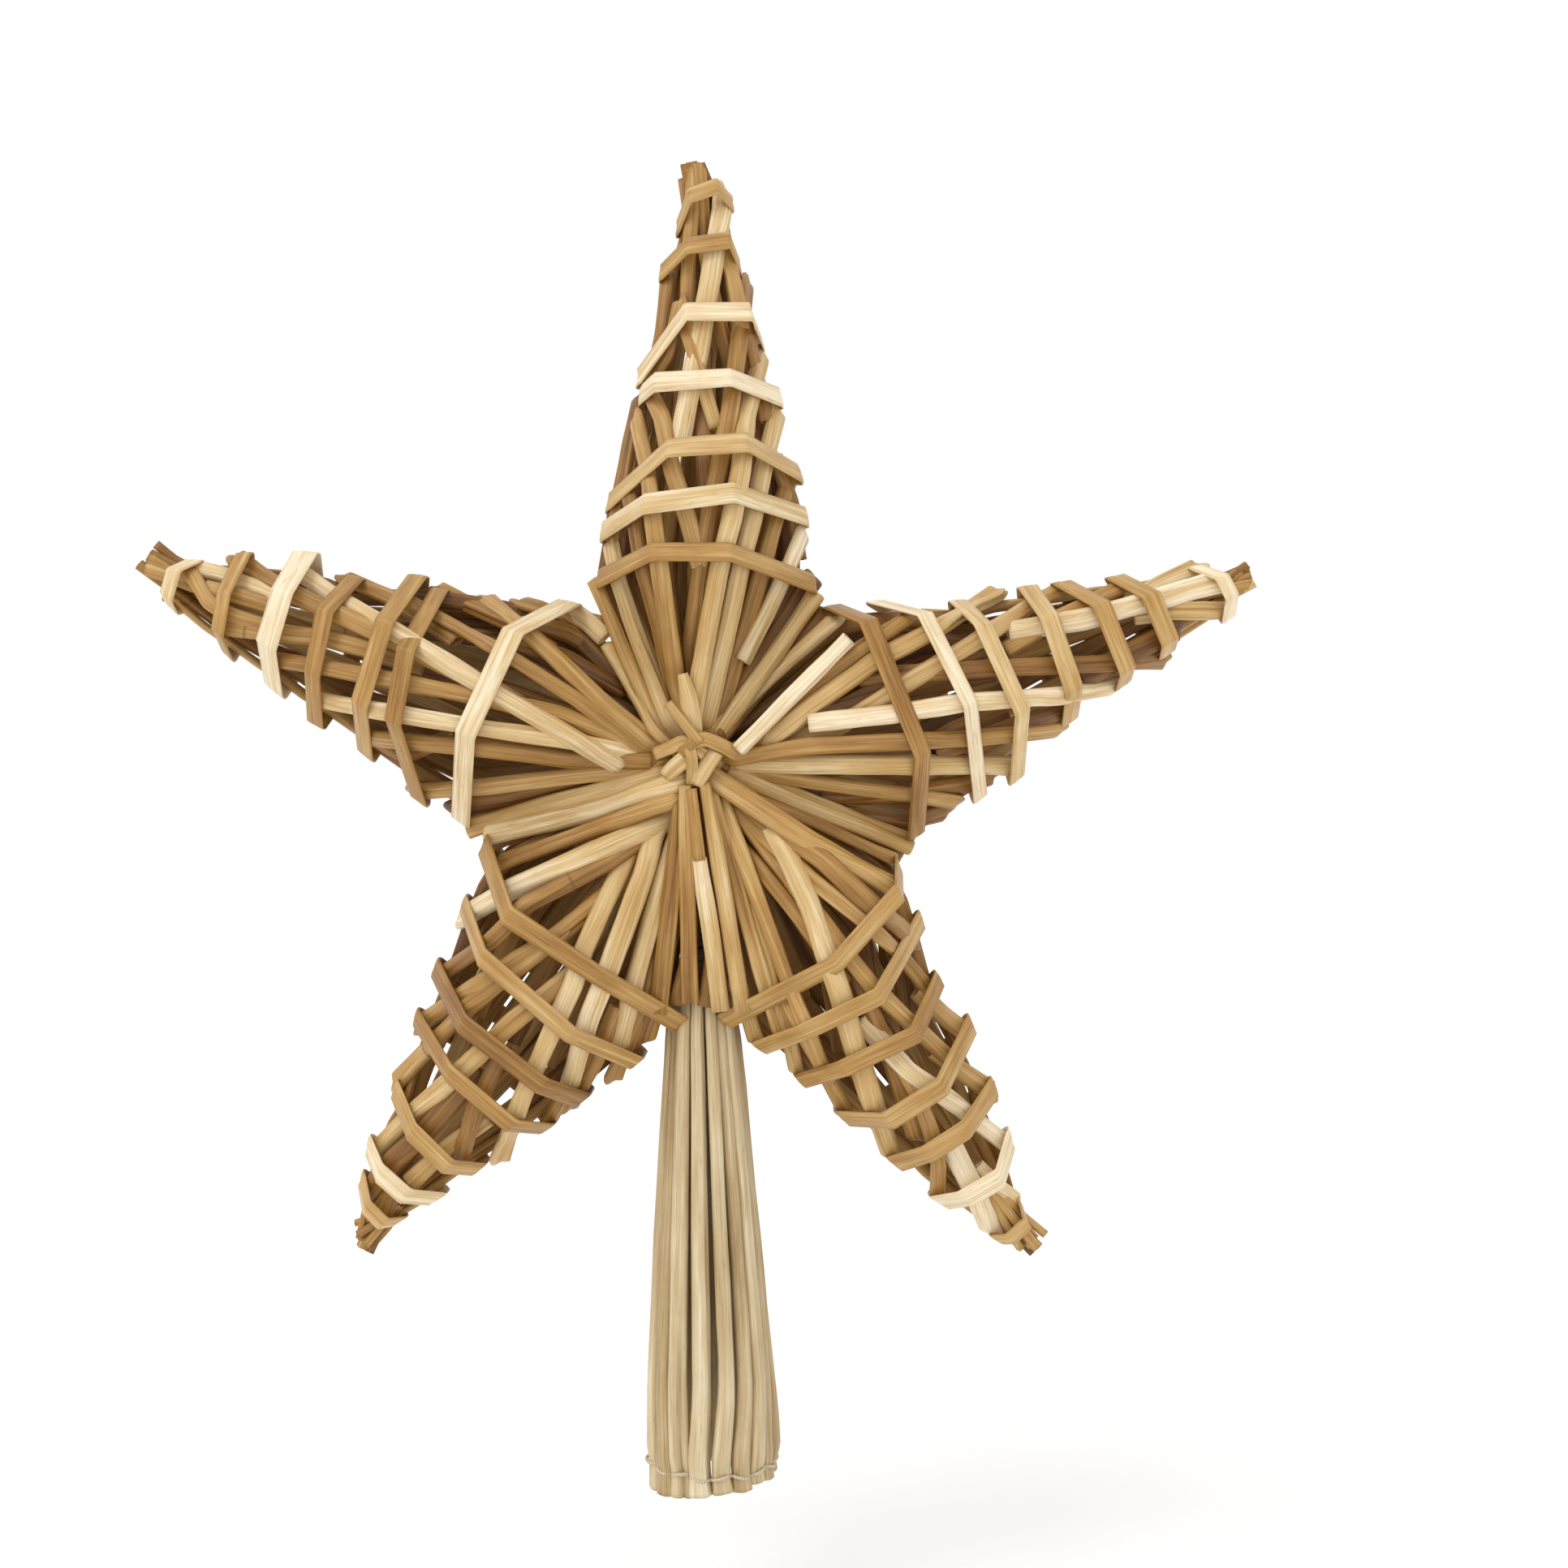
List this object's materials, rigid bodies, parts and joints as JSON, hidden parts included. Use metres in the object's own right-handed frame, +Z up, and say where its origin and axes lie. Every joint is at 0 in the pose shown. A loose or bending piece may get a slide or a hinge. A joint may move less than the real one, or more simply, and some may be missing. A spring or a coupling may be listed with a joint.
{
  "type": "straw star tree topper",
  "caption": "Hollow five-armed star of bent straws held by flat straw bands, on a tapering straw socket that slips over the top of a tree.",
  "frame": {"origin": "middle of the socket's open mouth, in the plane of its cut rim", "axes": "+Z up along the socket to the star's top arm, the star's front faces -Y, its width lies along X"},
  "size_m": [0.244, 0.0426, 0.2901],
  "materials": {
    "golden_straw": "dried straw, satin, golden",
    "pale_straw": "flattened dried straw, satin, pale cream",
    "brown_straw": "dried straw, satin, browner",
    "thread": "twisted cotton sewing thread, undyed white"
  },
  "bodies": {
    "root": {"top_arm_front_straws": "golden_straw", "top_arm_back_straws": "brown_straw", "top_arm_band_1": "pale_straw", "top_arm_band_2": "pale_straw", "top_arm_band_3": "pale_straw", "top_arm_band_4": "pale_straw", "top_arm_band_5": "pale_straw", "top_arm_band_6": "pale_straw", "top_arm_band_7": "pale_straw", "right_arm_front_straws": "golden_straw", "right_arm_back_straws": "brown_straw", "right_arm_band_1": "pale_straw", "right_arm_band_2": "pale_straw", "right_arm_band_3": "pale_straw", "right_arm_band_4": "pale_straw", "right_arm_band_5": "pale_straw", "right_arm_band_6": "pale_straw", "right_arm_band_7": "pale_straw", "lower_right_arm_front_straws": "golden_straw", "lower_right_arm_back_straws": "brown_straw", "lower_right_arm_band_1": "pale_straw", "lower_right_arm_band_2": "pale_straw", "lower_right_arm_band_3": "pale_straw", "lower_right_arm_band_4": "pale_straw", "lower_right_arm_band_5": "pale_straw", "lower_right_arm_band_6": "pale_straw", "lower_right_arm_band_7": "pale_straw", "lower_left_arm_front_straws": "golden_straw", "lower_left_arm_back_straws": "brown_straw", "lower_left_arm_band_1": "pale_straw", "lower_left_arm_band_2": "pale_straw", "lower_left_arm_band_3": "pale_straw", "lower_left_arm_band_4": "pale_straw", "lower_left_arm_band_5": "pale_straw", "lower_left_arm_band_6": "pale_straw", "lower_left_arm_band_7": "pale_straw", "left_arm_front_straws": "golden_straw", "left_arm_back_straws": "brown_straw", "left_arm_band_1": "pale_straw", "left_arm_band_2": "pale_straw", "left_arm_band_3": "pale_straw", "left_arm_band_4": "pale_straw", "left_arm_band_5": "pale_straw", "left_arm_band_6": "pale_straw", "left_arm_band_7": "pale_straw", "front_centre_tie": "pale_straw", "front_hanging_straws": "golden_straw", "back_centre_tie": "pale_straw", "back_hanging_straws": "golden_straw", "socket_straws_right": "golden_straw", "socket_straws_back_right": "golden_straw", "socket_straws_back_left": "golden_straw", "socket_straws_left": "golden_straw", "socket_straws_front_left": "golden_straw", "socket_straws_front_right": "golden_straw", "neck_lashing": "brown_straw", "mouth_stitching": "thread"}
  },
  "joints": []
}
